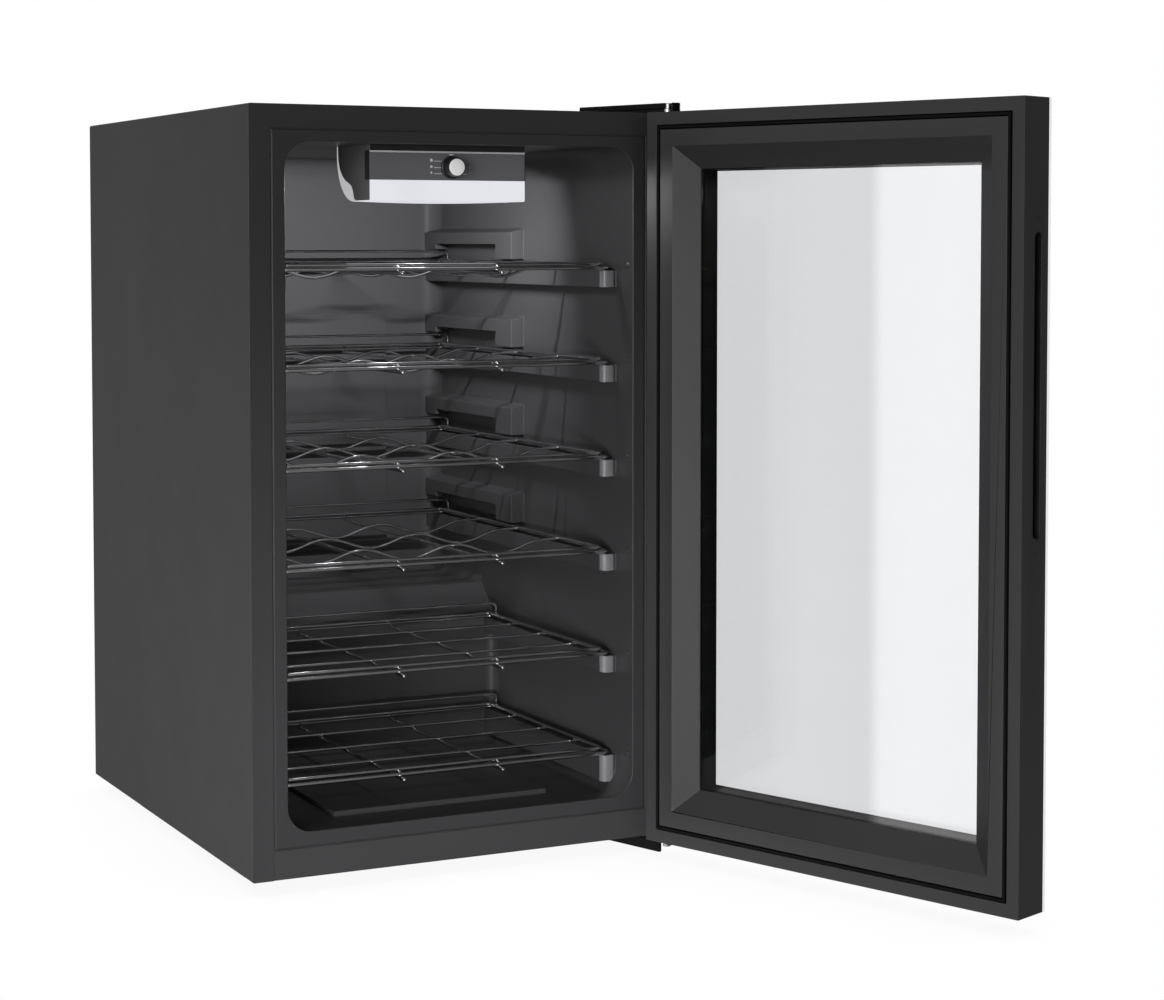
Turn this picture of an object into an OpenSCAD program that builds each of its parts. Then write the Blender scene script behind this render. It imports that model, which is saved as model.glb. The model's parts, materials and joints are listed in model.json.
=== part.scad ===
// Free-standing compressor wine cooler with a reversible glass door.
// Frame: origin on the floor under the middle of the cabinet, +Z up, the door side faces -Y.
// The cooler is drawn with its door open, which is joint value 0.

/* [Cabinet] */
// Width of the cabinet
cab_w = 430; // [400:1:500]
// Depth of the cabinet body without the door
cab_d = 525; // [500:1:600]
// Height of the cabinet body without the feet
cab_h = 716; // [716:1:760]
// Height of the feet
foot_h = 15; // [15:1:30]
// Thickness of the painted steel sheet
skin_t = 1; // [0.6:0.1:1.2]
// Width of the steel flange at each side of the front
flange_side = 21; // [18:0.5:24]
// Width of the steel flange over the opening
flange_top = 22; // [18:0.5:24]
// Height of the steel rail under the opening
rail_h = 27.5; // [24:0.5:30]
// Bend radius of the outer steel edges
edge_r = 2; // [1:0.5:3]

/* [Wine space] */
// Distance from the cabinet side to the wine space
wall_side = 35; // [34:0.5:45]
// Distance from the cabinet top to the wine space
wall_top = 34; // [32:0.5:45]
// Distance from the cabinet base to the wine space
wall_base = 42.5; // [40:0.5:50]
// Distance from the cabinet back to the wine space
wall_back = 40; // [36:1:50]
// Radius of the corners of the opening
mouth_r = 24; // [10:1:30]
// Thickness of the moulded liner
liner_t = 2; // [1.5:0.1:2.5]
// Depth of the compressor hump, measured from the back of the wine space
hump_d = 160; // [150:1:180]
// Height of the compressor hump above the floor of the wine space
hump_h = 168; // [150:1:175]

/* [Shelves] */
// Height of the lowest shelf wire above the cabinet base
shelf_low = 78.9; // [76:0.1:84]
// Height between the two low shelves
pitch_low = 100; // [98:0.5:102]
// Height between the four upper shelves
pitch_high = 94.2; // [90:0.1:95]
// Distance from the cabinet front to the shelf front
shelf_set = 35; // [32:1:45]
// Radius of the shelf frame wire
wire_r = 1.9; // [1.5:0.1:2.5]
// Radius of the cradle and cross wires
thin_r = 1.5; // [1:0.1:2]
// Distance between bottles in a cradle
bottle_pitch = 100; // [90:1:104]

/* [Door] */
// Thickness of the door
door_t = 42.4; // [38:0.1:46]
// Gap between the closed door and the cabinet
door_gap = 2.5; // [2.3:0.1:4]
// Angle of the door as drawn
door_angle = 110.35; // [0:0.05:118]
// Distance from the cabinet side to the hinge axis
hinge_in = 9; // [8.5:0.1:12]
// Distance from the cabinet front to the hinge axis
hinge_out = 23.4; // [23.2:0.1:26]
// Width of the dark border of the outer glass
glass_border = 56; // [50:1:60]
// Length of the grip slot
grip_l = 266; // [200:1:300]
// Width of the grip slot
grip_w = 11; // [10:0.5:14]

/* [Hidden] */

side_x = cab_w / 2;
front_y = -cab_d / 2;
back_y = cab_d / 2;
base_z = foot_h;
top_z = foot_h + cab_h;
small = 0.3;

// Wine space
room_x = side_x - wall_side;
room_z0 = base_z + wall_base;
room_z1 = top_z - wall_top;
room_back = back_y - wall_back;
hump_y = room_back - hump_d;
hump_z = room_z0 + hump_h;
hump_slope = 35;
bay_wall = 30;
tan_half = tan(22.5);

// Shelves, counted from the top
function shelf_z(n) = base_z + (n >= 5
    ? shelf_low + (6 - n) * pitch_low
    : shelf_low + pitch_low + 8 + (5 - n) * pitch_high);
rail_t = 14;
rail_tall = 17;
rail_set = 36;
frame_x = room_x - 6.5;
loop_in = 6;
loop_up = 2 * wire_r;
corner_r = 9;
shelf_front = front_y + shelf_set;
function shelf_back(n) = n >= 5 ? hump_y - 8 : room_back - 38;
support_x = 52;
wave_amp = 5.8;
wave_steps = 18;
weld = 0.4;
stop_up = 15;
nose_out = 10;
guide_low = 17;
guide_high = 40;
guide_stop = 7;
guide_set = 250;

// Door, drawn closed and then turned
hinge_x = side_x - hinge_in;
hinge_y = front_y - hinge_out;
door_in_y = front_y - door_gap;
door_out_y = door_in_y - door_t;
door_z0 = base_z + 2.5;
door_z1 = top_z - 1;
rim_w = 12.6;
groove_w = 4.4;
bevel_from = 33;
bevel_to = 55;
bevel_deep = 17.3;
pane_t = 3.2;
outer_t = 4;
pane_hold = 46;
grip_z = base_z + 465.5;
grip_y = door_in_y - 23;
grip_deep = 16;
cup_t = 1.5;
pin_r = 4;
pin_play = 0.05;
bush_r = 6;
plate_t = 3;
cover_t = 5.7;
pin_tip = 2.8;
web_h = 9.7;
bracket_screws = [front_y + 34, front_y + 70];

// Controls
box_w = 162;
box_y = front_y + 39;
box_deep = 84;
box_bend = 44;
box_z0 = base_z + 628.6;
fascia_z0 = box_z0 + 20;
fascia_z1 = base_z + 676.3;
fascia_t = 3;
knob_x = 3;
knob_z = base_z + 661;
shaft_r = 3;

// Compressor bay
bay_y = hump_y + liner_t + bay_wall;
bay_z = hump_z - liner_t - bay_wall;
tray_t = 2;
comp_x = 60;
comp_y = (bay_y + back_y) / 2 + 4;
comp_r = 56;
tube_r = 3;
coil_y = back_y + 14;
coil_rows = 15;
coil_pitch = 26;
coil_z0 = base_z + 240;
coil_x = side_x - 55;

module rounded(w, h, r) {
    square([w - 2 * r, h], center = true);
    square([w, h - 2 * r], center = true);
    for (x = [-1, 1], y = [-1, 1])
        translate([x * (w / 2 - r), y * (h / 2 - r)]) circle(r, $fn = 48);
}

// A block given by its lowest and highest corners
module block(a, b) {
    translate(a) cube(b - a);
}

// An outline in X and Z, pushed along Y
module along_y(y0, y1) {
    translate([0, y1, 0]) rotate([90, 0, 0]) linear_extrude(y1 - y0) children();
}

// An outline in Y and Z, pushed along X on both sides of the middle
module along_x(half) {
    translate([-half, 0, 0]) rotate([90, 0, 90]) linear_extrude(2 * half) children();
}

// A round rod between two points on one axis direction
module rod(a, b, r) {
    d = b - a;
    l = norm(d);
    translate(a) rotate([0, acos(d.z / l), atan2(d.y, d.x)]) cylinder(h = l, r = r, $fn = 24);
}

// The opening of the wine space seen from the front, grown by t
module mouth(t = 0) {
    translate([0, (room_z0 + room_z1) / 2])
        rounded(2 * (room_x + t), room_z1 - room_z0 + 2 * t, mouth_r + t);
}

// The wine space seen from the side, grown by t, open past the front
module room_side(t = 0, y0 = front_y - 5) {
    polygon([[y0, room_z0 - t], [hump_y + t, room_z0 - t],
        [hump_y + t, hump_z - hump_slope - tan_half * t],
        [hump_y + hump_slope + tan_half * t, hump_z - t],
        [room_back + t, hump_z - t], [room_back + t, room_z1 + t], [y0, room_z1 + t]]);
}

module room(t = 0, y0 = front_y - 5) {
    intersection() {
        along_y(y0, room_back + t) mouth(t);
        along_x(room_x + t) room_side(t, y0);
    }
}

// The compressor bay seen from the side, grown by t
module bay_side(t = 0) {
    polygon([[bay_y - t, base_z], [bay_y - t, bay_z - hump_slope + tan_half * t],
        [bay_y + hump_slope - tan_half * t, bay_z + t], [back_y + 5, bay_z + t],
        [back_y + 5, base_z]]);
}

module cabinet_wrapper() {
    color([0.09, 0.09, 0.1]) difference() {
        along_y(front_y, back_y) translate([0, (base_z + top_z) / 2])
            rounded(cab_w, cab_h, edge_r);
        block([-side_x + skin_t, front_y + skin_t, base_z - 5],
            [side_x - skin_t, back_y + 5, top_z - skin_t]);
        block([-side_x + flange_side, front_y - 5, base_z - 5],
            [side_x - flange_side, back_y, top_z - flange_top]);
        bracket_screw_places() cylinder(h = 12, r = 2.2, center = true, $fn = 32);
    }
}

module front_rail() {
    half = side_x - flange_side - small;
    color([0.1, 0.1, 0.11]) {
        block([-half, front_y, base_z + 1], [half, front_y + skin_t, base_z + rail_h]);
        block([-half, front_y + skin_t, base_z], [half, front_y + 24, base_z + skin_t]);
    }
}

module rear_panel() {
    color([0.09, 0.09, 0.1]) difference() {
        block([-side_x + skin_t, back_y - skin_t, bay_z], [side_x - skin_t, back_y, top_z - skin_t]);
        panel_screw_places() cylinder(h = 4, r = 1.9, center = true, $fn = 24);
        suction_places() cylinder(h = 120, r = tube_r + 0.3, center = true, $fn = 24);
    }
}

module panel_screw_places() {
    for (x = [-1, 1], z = [bay_z + 20, (bay_z + top_z) / 2, top_z - 20])
        translate([x * (side_x - 12), back_y - skin_t / 2, z]) rotate([-90, 0, 0]) children();
}

foot_x = side_x - 50;
foot_y = front_y + 75;
rear_foot_y = back_y - 35;
foot_r = 17;
stud_r = 4;

module base_pan() {
    color([0.35, 0.36, 0.37]) difference() {
        block([-side_x + skin_t, front_y + 24, base_z], [side_x - skin_t, bay_y, base_z + skin_t]);
        for (x = [-1, 1]) translate([x * foot_x, foot_y, base_z - 1])
            cylinder(h = 5, r = stud_r + 0.3, $fn = 32);
        bracket_screw_places() cylinder(h = 12, r = 2.2, center = true, $fn = 32);
    }
}

module foam_insulation() {
    color([0.86, 0.8, 0.6]) difference() {
        block([-side_x + skin_t, front_y + skin_t + 1.5, base_z + skin_t],
            [side_x - skin_t, back_y - skin_t, top_z - skin_t]);
        room(liner_t);
        along_x(side_x + 5) bay_side(1);
        for (x = [-1, 1]) translate([x * foot_x, foot_y, base_z])
            cylinder(h = 26, r = 9, $fn = 32);
        bracket_screw_places() cylinder(h = 40, r = 2.6, center = true, $fn = 24);
        panel_screw_places() cylinder(h = 24, r = 1.9, center = true, $fn = 24);
        // channel of the drain from the wine space to the bay
        translate([drain_x, 0, 0]) along_drain(6.2);
        // shaft of the bulb wire, from the controls to the back of the wine space
        suction_places() cylinder(h = 80, r = tube_r + 0.3, center = true, $fn = 24);
    }
}

drain_x = -70;
module along_drain(r) {
    translate([0, bay_y - bay_wall - liner_t - 2, hump_z - 62]) rotate([-90, 0, 0])
        cylinder(h = bay_wall + liner_t + 20, r = r, $fn = 32);
}

module suction_places() {
    for (x = [-30, -18]) translate([x, back_y - wall_back / 2, coil_z0 + 10]) rotate([90, 0, 0])
        children();
}

// One support rail on the right wall, its top a hair below the shelf wire
module rail(n) {
    tall = n == 6 ? rail_tall + 10 : rail_tall;
    z1 = shelf_z(n) - wire_r - small;
    y1 = n >= 5 ? hump_y : room_back;
    y0 = front_y + rail_set;
    translate([0, 0, z1 - tall]) linear_extrude(tall)
        polygon([[room_x + 1, y0], [room_x - rail_t + 3, y0], [room_x - rail_t, y0 + 3],
            [room_x - rail_t, y1 + 1], [room_x + 1, y1 + 1]]);
}

// Guide on the wall that keeps a pulled shelf level, its underside cut out behind a lower
// front end that catches the raised stop of the shelf
module tilt_guide(n) {
    y0 = front_y + guide_set;
    z0 = shelf_z(n) + guide_low;
    z1 = shelf_z(n) + guide_high;
    difference() {
        union() {
            along_y(y0, room_back + 1) polygon([[room_x + 1, z0], [room_x - 15, z0],
                [room_x - 15, z1 - 4], [room_x, z1], [room_x + 1, z1]]);
            block([room_x - 15, y0, shelf_z(n) + guide_stop], [room_x + 1, y0 + 41, z0 + 1]);
        }
        block([room_x - 20, y0 + 41, z0 - 1], [room_x, room_back - 32, z0 + 6]);
    }
}

module stop_bump(n) {
    intersection() {
        translate([room_x + 4.6, front_y + 12, shelf_z(n) + 3.5]) sphere(r = 6, $fn = 48);
        block([room_x - 5, front_y, room_z0], [room_x + 1, front_y + 30, room_z1]);
    }
}

module inner_liner() {
    color([0.16, 0.16, 0.17]) difference() {
        union() {
            difference() {
                union() {
                    room(liner_t, front_y + skin_t);
                    // flange behind the steel, and the land that shows beside it
                    block([-side_x + 3, front_y + skin_t, base_z + 3],
                        [side_x - 3, front_y + skin_t + 1.5, top_z - 3]);
                    block([-side_x + flange_side + 1.5, front_y + small, base_z + rail_h + 1.5],
                        [side_x - flange_side - 1.5, front_y + skin_t, top_z - flange_top - 1.5]);
                }
                room();
            }
            intersection() {
                room(liner_t / 2);
                for (s = [0, 1]) mirror([s, 0, 0]) for (n = [1:6]) {
                    rail(n);
                    stop_bump(n);
                    if (n < 5) tilt_guide(n);
                }
            }
            // shallow platform of the floor
            block([-117, front_y + 46, room_z0 - 1], [107, hump_y + 1, room_z0 + 5]);
        }
        translate([drain_x, 0, 0]) along_drain(5.05);
        suction_places() cylinder(h = 80, r = tube_r + 0.05, center = true, $fn = 24);
    }
}

module bay_partition() {
    color([0.6, 0.61, 0.62]) difference() {
        intersection() {
            along_x(side_x - skin_t) bay_side(1);
            block([-side_x, bay_y - 2, base_z + skin_t], [side_x, back_y - skin_t, bay_z + 2]);
        }
        along_x(side_x + 5) bay_side();
        translate([drain_x, 0, 0]) along_drain(5.05);
    }
}

plate_y = room_back - 8;
module evaporator_plate() {
    color([0.2, 0.2, 0.21]) difference() {
        union() {
            translate([-10, 0, (hump_z + 30 + room_z0 + 466) / 2]) along_y(plate_y + 3, plate_y + 6)
                rounded(250, room_z0 + 466 - hump_z - 30, 12);
            for (x = [-110, 90], z = [hump_z + 50, room_z0 + 446])
                translate([x, plate_y + 6, z]) rotate([-90, 0, 0]) cylinder(h = 2, r = 5, $fn = 32);
        }
        suction_places() cylinder(h = 120, r = tube_r + 0.05, center = true, $fn = 24);
    }
}

module thermostat_bulb() {
    color([0.72, 0.45, 0.3]) translate([-100, plate_y, room_z0 + 380])
        cylinder(h = 70, r = 2.8, $fn = 32);
}

// Side outline of the control box between two heights, its lower rear edge a wide bend
module box_side(z0, z1) {
    intersection() {
        translate([box_y + fascia_t, z0]) square([box_deep, z1 - z0]);
        union() {
            translate([box_y, box_z0]) square([box_deep - box_bend, room_z1 - box_z0]);
            translate([box_y, box_z0 + box_bend]) square([box_deep, room_z1 - box_z0 - box_bend]);
            translate([box_y + box_deep - box_bend, box_z0 + box_bend]) circle(box_bend, $fn = 96);
        }
    }
}

module control_housing() {
    color([0.07, 0.07, 0.08]) difference() {
        union() {
            along_x(box_w / 2) box_side(fascia_z0, room_z1);
            block([-box_w / 2, box_y, fascia_z1], [box_w / 2, box_y + fascia_t, room_z1]);
        }
        block([-box_w / 2 + 3, box_y - 1, fascia_z0 - 1],
            [box_w / 2 - 3, box_y + 44, fascia_z1 - 1]);
    }
}

module control_fascia() {
    color([0.33, 0.33, 0.34]) difference() {
        translate([0, 0, (fascia_z0 + fascia_z1) / 2]) along_y(box_y, box_y + fascia_t)
            square([box_w, fascia_z1 - fascia_z0], center = true);
        translate([knob_x, box_y, knob_z]) rotate([90, 0, 0])
            cylinder(h = 20, r = shaft_r + 1, center = true, $fn = 48);
    }
}

module light_diffuser() {
    color([0.9, 0.9, 0.93]) difference() {
        along_x(box_w / 2) {
            box_side(box_z0, fascia_z0);
            translate([box_y, box_z0]) square([4, fascia_z0 - box_z0]);
        }
        block([-box_w / 2 + 2, box_y + 2, box_z0 + 2],
            [box_w / 2 - 2, box_y + box_deep - box_bend, fascia_z0 + 1]);
    }
}

module led_board() {
    board_z = fascia_z0 + 1;
    color([0.85, 0.86, 0.84]) {
        block([-box_w / 2 + 6, box_y + 8, board_z], [box_w / 2 - 6, box_y + 26, board_z + 1.6]);
        for (i = [-4:4]) block([i * 16 - 1.8, box_y + 15, board_z - 1],
            [i * 16 + 1.8, box_y + 18.6, board_z]);
    }
}

module thermostat_body() {
    color([0.75, 0.74, 0.7]) difference() {
        union() {
            block([knob_x - 19, box_y + 5, knob_z - 9], [knob_x + 19, box_y + 40, knob_z + 13]);
            translate([knob_x, box_y + 6, knob_z]) rotate([90, 0, 0])
                cylinder(h = 14, r = shaft_r, $fn = 48);
        }
        block([knob_x - 12, box_y + 30, knob_z - 12], [knob_x + 12, box_y + 45, knob_z - 4]);
    }
}

module temperature_knob() {
    color([0.75, 0.75, 0.76]) translate([knob_x, box_y, knob_z]) rotate([90, 0, 0]) difference() {
        union() {
            translate([0, 0, small]) cylinder(h = 3.7, r = 11, $fn = 64);
            cylinder(h = 14, r = 9, $fn = 64);
        }
        translate([0, 0, -1]) cylinder(h = 10, r = shaft_r + pin_play, $fn = 48);
        translate([0, 0, -1]) cylinder(h = 1 + small, r = 20, $fn = 48);
    }
}

module compressor_tray() {
    color([0.3, 0.31, 0.32]) difference() {
        union() {
            block([-side_x + skin_t, bay_y, base_z], [side_x - skin_t, back_y, base_z + tray_t]);
            block([-side_x + skin_t, back_y - tray_t, base_z + tray_t],
                [side_x - skin_t, back_y, base_z + 22]);
        }
        grommet_places() cylinder(h = 12, r = 3.6, center = true, $fn = 32);
        for (x = [-1, 1]) translate([x * foot_x, rear_foot_y, base_z])
            cylinder(h = 12, r = 3.1, center = true, $fn = 32);
    }
}

module grommet_places() {
    for (x = [-1, 1], y = [-1, 1])
        translate([comp_x + x * 50, comp_y + y * 42, base_z + tray_t]) children();
}

// Hermetic shell: two pressed halves with a welded seam, on a foot plate
comp_z = base_z + 24;
comp_h = 104;
stub_z = comp_z + 60;
suction_end = [comp_x - 30, comp_y + 40, stub_z + 14];
module compressor() {
    color([0.05, 0.05, 0.055]) {
        difference() {
            translate([comp_x, comp_y, comp_z]) rotate_extrude($fn = 64) {
                square([comp_r - 14, comp_h]);
                translate([0, 14]) square([comp_r, comp_h - 38]);
                translate([comp_r - 14, 14]) circle(14, $fn = 48);
                translate([0, comp_h - 26]) intersection() {
                    circle(comp_r - 1, $fn = 96);
                    square([comp_r, 26]);
                }
                translate([0, comp_h * 0.46]) square([comp_r + 2.5, 3]);
            }
            rod(suction_end - [60, -8, 0], suction_end + [1, 0, 0], tube_r + pin_play);
        }
        difference() {
            translate([comp_x, comp_y, comp_z - 3]) linear_extrude(3.5) rounded(118, 98, 8);
            grommet_places() cylinder(h = 40, r = 5.1, $fn = 32);
        }
    }
}

module compressor_grommets() {
    color([0.03, 0.03, 0.03]) grommet_places() difference() {
        union() {
            cylinder(h = comp_z - 3 - base_z - tray_t, r = 9, $fn = 48);
            cylinder(h = comp_z + 3 - base_z - tray_t, r = 5, $fn = 48);
        }
        translate([0, 0, -1]) cylinder(h = 40, r = 3, $fn = 32);
    }
}

module terminal_box() {
    color([0.06, 0.06, 0.06]) difference() {
        translate([comp_x - comp_r - 30, comp_y - 26, comp_z + 22]) cube([29, 52, 46]);
        translate([comp_x, comp_y, comp_z]) cylinder(h = comp_h, r = comp_r + 3, $fn = 64);
        translate([comp_x - comp_r - 28, comp_y - 24, comp_z + 24]) cube([22, 48, 42]);
    }
}

// Serpentine tube with upright wires on both sides
function coil_row_z(i) = coil_z0 + i * coil_pitch;
module condenser() {
    color([0.04, 0.04, 0.045]) {
        for (i = [0:coil_rows - 1])
            rod([-coil_x, coil_y, coil_row_z(i)], [coil_x, coil_y, coil_row_z(i)], 2.4);
        for (i = [0:coil_rows - 2]) {
            s = i % 2 == 0 ? 1 : -1;
            translate([s * coil_x, coil_y, coil_row_z(i) + coil_pitch / 2]) rotate([90, 0, 0])
                rotate_extrude(angle = 180, start = s > 0 ? -90 : 90, $fn = 48)
                    translate([coil_pitch / 2, 0]) circle(2.4, $fn = 24);
        }
        for (i = [-12:12], s = [-1, 1])
            translate([i * 12.4, coil_y + s * 3.3, coil_row_z(0) - 8])
                cylinder(h = (coil_rows - 1) * coil_pitch + 16, r = 0.9, $fn = 16);
    }
}

module condenser_brackets() {
    color([0.05, 0.05, 0.055]) for (s = [-1, 1], i = [2, coil_rows - 3]) difference() {
        translate([s * (coil_x - 4), 0, coil_row_z(i)]) union() {
            block([-6, back_y, -9], [6, back_y + 1.5, 22]);
            block([-6, back_y, -4.4], [6, coil_y + 4, 4.4]);
        }
        translate([0, coil_y, coil_row_z(i)]) rotate([0, 90, 0])
            cylinder(h = 500, r = 2.45, center = true, $fn = 32);
    }
}

module filter_drier() {
    color([0.72, 0.43, 0.27]) translate([-110, back_y - 40, base_z + 60]) {
        cylinder(h = 80, r = 9, $fn = 48);
        translate([0, 0, -8]) cylinder(h = 8.5, r = 3, $fn = 24);
        translate([0, 0, 79.5]) cylinder(h = 9, r = 2, $fn = 24);
    }
}

// Pipe along straight legs, with a ball at each bend
module pipe(points, r) {
    for (i = [0:len(points) - 2]) rod(points[i], points[i + 1], r);
    for (i = [1:len(points) - 2]) translate(points[i]) sphere(r = r, $fn = 24);
}

module refrigerant_tubes() {
    drier = [-110, back_y - 40, base_z];
    color([0.72, 0.43, 0.27]) {
        // hot gas from the compressor up to the condenser
        pipe([[comp_x + 40, comp_y + 44, stub_z], [comp_x + 40, back_y - 14, stub_z],
            [coil_x - 20, back_y - 14, stub_z], [coil_x - 20, back_y - 14, bay_z - 14],
            [coil_x - 20, coil_y - 8, bay_z - 14], [coil_x - 20, coil_y, coil_row_z(0) - 2.2]], tube_r - 0.6);
        // liquid down to the drier
        pipe([drier + [0, 0, 52], drier + [0, 0, 34], [-coil_x - 20, drier.y, base_z + 34],
            [-coil_x - 20, drier.y, base_z + 130], [-coil_x, coil_y, base_z + 160],
            [-coil_x, coil_y, coil_row_z(0) - 2.2]], tube_r - 0.6);
        // cold suction line back from the evaporator
        pipe([[-30, plate_y + 3, coil_z0 + 10], [-30, back_y + 5, coil_z0 + 10],
            [-30, back_y + 5, bay_z - 22], [-30, comp_y + 48, bay_z - 22],
            suction_end - [60, -8, 0], suction_end], tube_r);
        // capillary up to the evaporator
        pipe([drier + [0, 0, 148.5], drier + [0, 0, 158], [-18, back_y - 40, base_z + 158],
            [-18, back_y + 5, base_z + 158], [-18, back_y + 5, coil_z0 + 10],
            [-18, plate_y + 3, coil_z0 + 10]], 1.4);
    }
}

module drip_tray() {
    z = comp_z + comp_h + 1;
    color([0.08, 0.08, 0.08]) difference() {
        translate([comp_x - 10, comp_y - 6, z]) linear_extrude(12) rounded(130, 84, 8);
        translate([comp_x - 10, comp_y - 6, z + 2]) linear_extrude(12) rounded(126, 80, 6);
    }
}

module drain_tube() {
    color([0.5, 0.5, 0.5]) translate([drain_x, 0, 0]) difference() {
        translate([0, hump_y, hump_z - 62]) rotate([-90, 0, 0])
            cylinder(h = bay_wall + liner_t + 16, r = 5, $fn = 32);
        translate([0, hump_y - 1, hump_z - 62]) rotate([-90, 0, 0])
            cylinder(h = bay_wall + liner_t + 30, r = 3.6, $fn = 32);
    }
}

module power_inlet() {
    color([0.05, 0.05, 0.05]) translate([-side_x + 60, back_y, base_z + 52]) difference() {
        union() {
            translate([-17, -24, -13]) cube([34, 24, 26]);
            translate([0, 2, 0]) rotate([90, 0, 0]) linear_extrude(4) rounded(44, 32, 3);
        }
        translate([0, 3, 0]) rotate([90, 0, 0]) linear_extrude(22) rounded(25, 17, 3);
        for (x = [-1, 1]) translate([x * 18.5, 0, 0]) rotate([90, 0, 0])
            cylinder(h = 12, r = 1.2, center = true, $fn = 24);
    }
    color([0.8, 0.75, 0.5]) for (x = [-7, 0, 7])
        translate([-side_x + 60 + x - 1, back_y - 19.5, base_z + 50]) cube([2, 15, 4]);
}

// Screws that hold each hinge bracket, at the top and at the base
module bracket_screw_places() {
    for (y = bracket_screws) {
        translate([side_x - 18, y, top_z]) children();
        translate([side_x - 18, y, base_z]) children();
    }
}

// Outline of a hinge bracket seen from above: its slanted edge runs to the pin
module hinge_plan() {
    polygon([[side_x - 49, front_y + 90], [hinge_x - 3.4, hinge_y], [hinge_x - 4, hinge_y - 6],
        [hinge_x - 1, hinge_y - 11], [side_x - 2.5, hinge_y - 11], [side_x, hinge_y - 8.5],
        [side_x, front_y + 90]]);
}

// Slot through which the pin shows at the end of the bracket
module pin_window() {
    translate([hinge_x, hinge_y, top_z - 1]) linear_extrude(20) rotate(-116)
        translate([0, -pin_tip]) square([20, 2 * pin_tip]);
}

module top_hinge_bracket() {
    color([0.05, 0.05, 0.055]) difference() {
        translate([0, 0, top_z]) linear_extrude(plate_t) hinge_plan();
        bracket_screw_places() cylinder(h = 12, r = 2.2, center = true, $fn = 32);
        translate([hinge_x, hinge_y, top_z - 1]) cylinder(h = 10, r = pin_r, $fn = 48);
        pin_window();
    }
}

module top_hinge_cover() {
    color([0.04, 0.04, 0.045]) difference() {
        translate([0, 0, top_z + plate_t]) linear_extrude(cover_t) hinge_plan();
        bracket_screw_places() cylinder(h = 14, r = 4.5, center = true, $fn = 32);
        translate([hinge_x, hinge_y, top_z]) cylinder(h = 20, r = pin_tip + 0.3, $fn = 48);
        pin_window();
    }
}

module top_hinge_pin() {
    color([0.8, 0.8, 0.8]) translate([hinge_x, hinge_y, 0]) {
        translate([0, 0, top_z - 22]) cylinder(h = 22 + plate_t, r = pin_r, $fn = 48);
        translate([0, 0, top_z + plate_t]) cylinder(h = cover_t - 0.7, r = pin_tip, $fn = 48);
    }
}

low_z = base_z - plate_t;
module bottom_hinge_bracket() {
    color([0.05, 0.05, 0.055]) difference() {
        union() {
            translate([0, 0, low_z]) linear_extrude(plate_t) hinge_plan();
            // web that stiffens the slanted edge, from beside the foot to the pin
            translate([0, 0, low_z - web_h]) linear_extrude(web_h + 1)
                polygon([[side_x - 38, front_y + 50.5], [hinge_x - 6, hinge_y + 5],
                    [hinge_x - 2.5, hinge_y + 6.5], [side_x - 35, front_y + 51.5]]);
        }
        bracket_screw_places() cylinder(h = 12, r = 2.2, center = true, $fn = 32);
        translate([hinge_x, hinge_y, low_z - 1]) cylinder(h = 10, r = pin_r, $fn = 48);
    }
}

module bottom_hinge_pin() {
    color([0.7, 0.7, 0.7]) translate([hinge_x, hinge_y, 0]) {
        translate([0, 0, low_z]) cylinder(h = 25, r = pin_r, $fn = 48);
        translate([0, 0, low_z - 3]) cylinder(h = 3, r = pin_tip + 1, $fn = 48);
        translate([0, 0, base_z]) cylinder(h = 2.2, r = 6, $fn = 48);
    }
}

module hinge_screws() {
    color([0.25, 0.25, 0.26]) {
        for (y = bracket_screws) {
            translate([side_x - 18, y, top_z - 14]) {
                cylinder(h = 17, r = 2.1, $fn = 32);
                translate([0, 0, 17]) cylinder(h = 2.4, r = 4, $fn = 32);
            }
            translate([side_x - 18, y, low_z]) {
                cylinder(h = 17, r = 2.1, $fn = 32);
                translate([0, 0, -2.4]) cylinder(h = 2.4, r = 4, $fn = 32);
            }
        }
    }
}

module panel_screws() {
    color([0.3, 0.3, 0.3]) panel_screw_places() {
        translate([0, 0, -9]) cylinder(h = 9.5, r = 1.8, $fn = 24);
        translate([0, 0, skin_t / 2]) cylinder(h = 1.8, r = 3.5, $fn = 32);
    }
}

module rear_feet() {
    color([0.05, 0.05, 0.05]) for (x = [-1, 1]) translate([x * foot_x, rear_foot_y, 0]) {
        cylinder(h = foot_h, r = foot_r - 2, $fn = 64);
        cylinder(h = foot_h + 8, r = 3, $fn = 32);
        translate([0, 0, foot_h + tray_t]) cylinder(h = 3, r = 5.5, $fn = 32);
    }
}

module levelling_foot(s) {
    color([0.05, 0.05, 0.05]) translate([s * foot_x, foot_y, 0]) {
        cylinder(h = 7, r = foot_r, $fn = 64);
        cylinder(h = 11.5, r = 9, $fn = 6);
        cylinder(h = foot_h + 18, r = stud_r, $fn = 48);
    }
}

module left_levelling_foot() {
    levelling_foot(-1);
}

module right_levelling_foot() {
    levelling_foot(1);
}

module foot_nuts() {
    color([0.6, 0.6, 0.6]) for (x = [-1, 1]) translate([x * foot_x, foot_y, base_z + skin_t])
        difference() {
            cylinder(h = 9, r = 8, $fn = 6);
            translate([0, 0, -1]) cylinder(h = 20, r = stud_r + pin_play, $fn = 48);
        }
}

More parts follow.
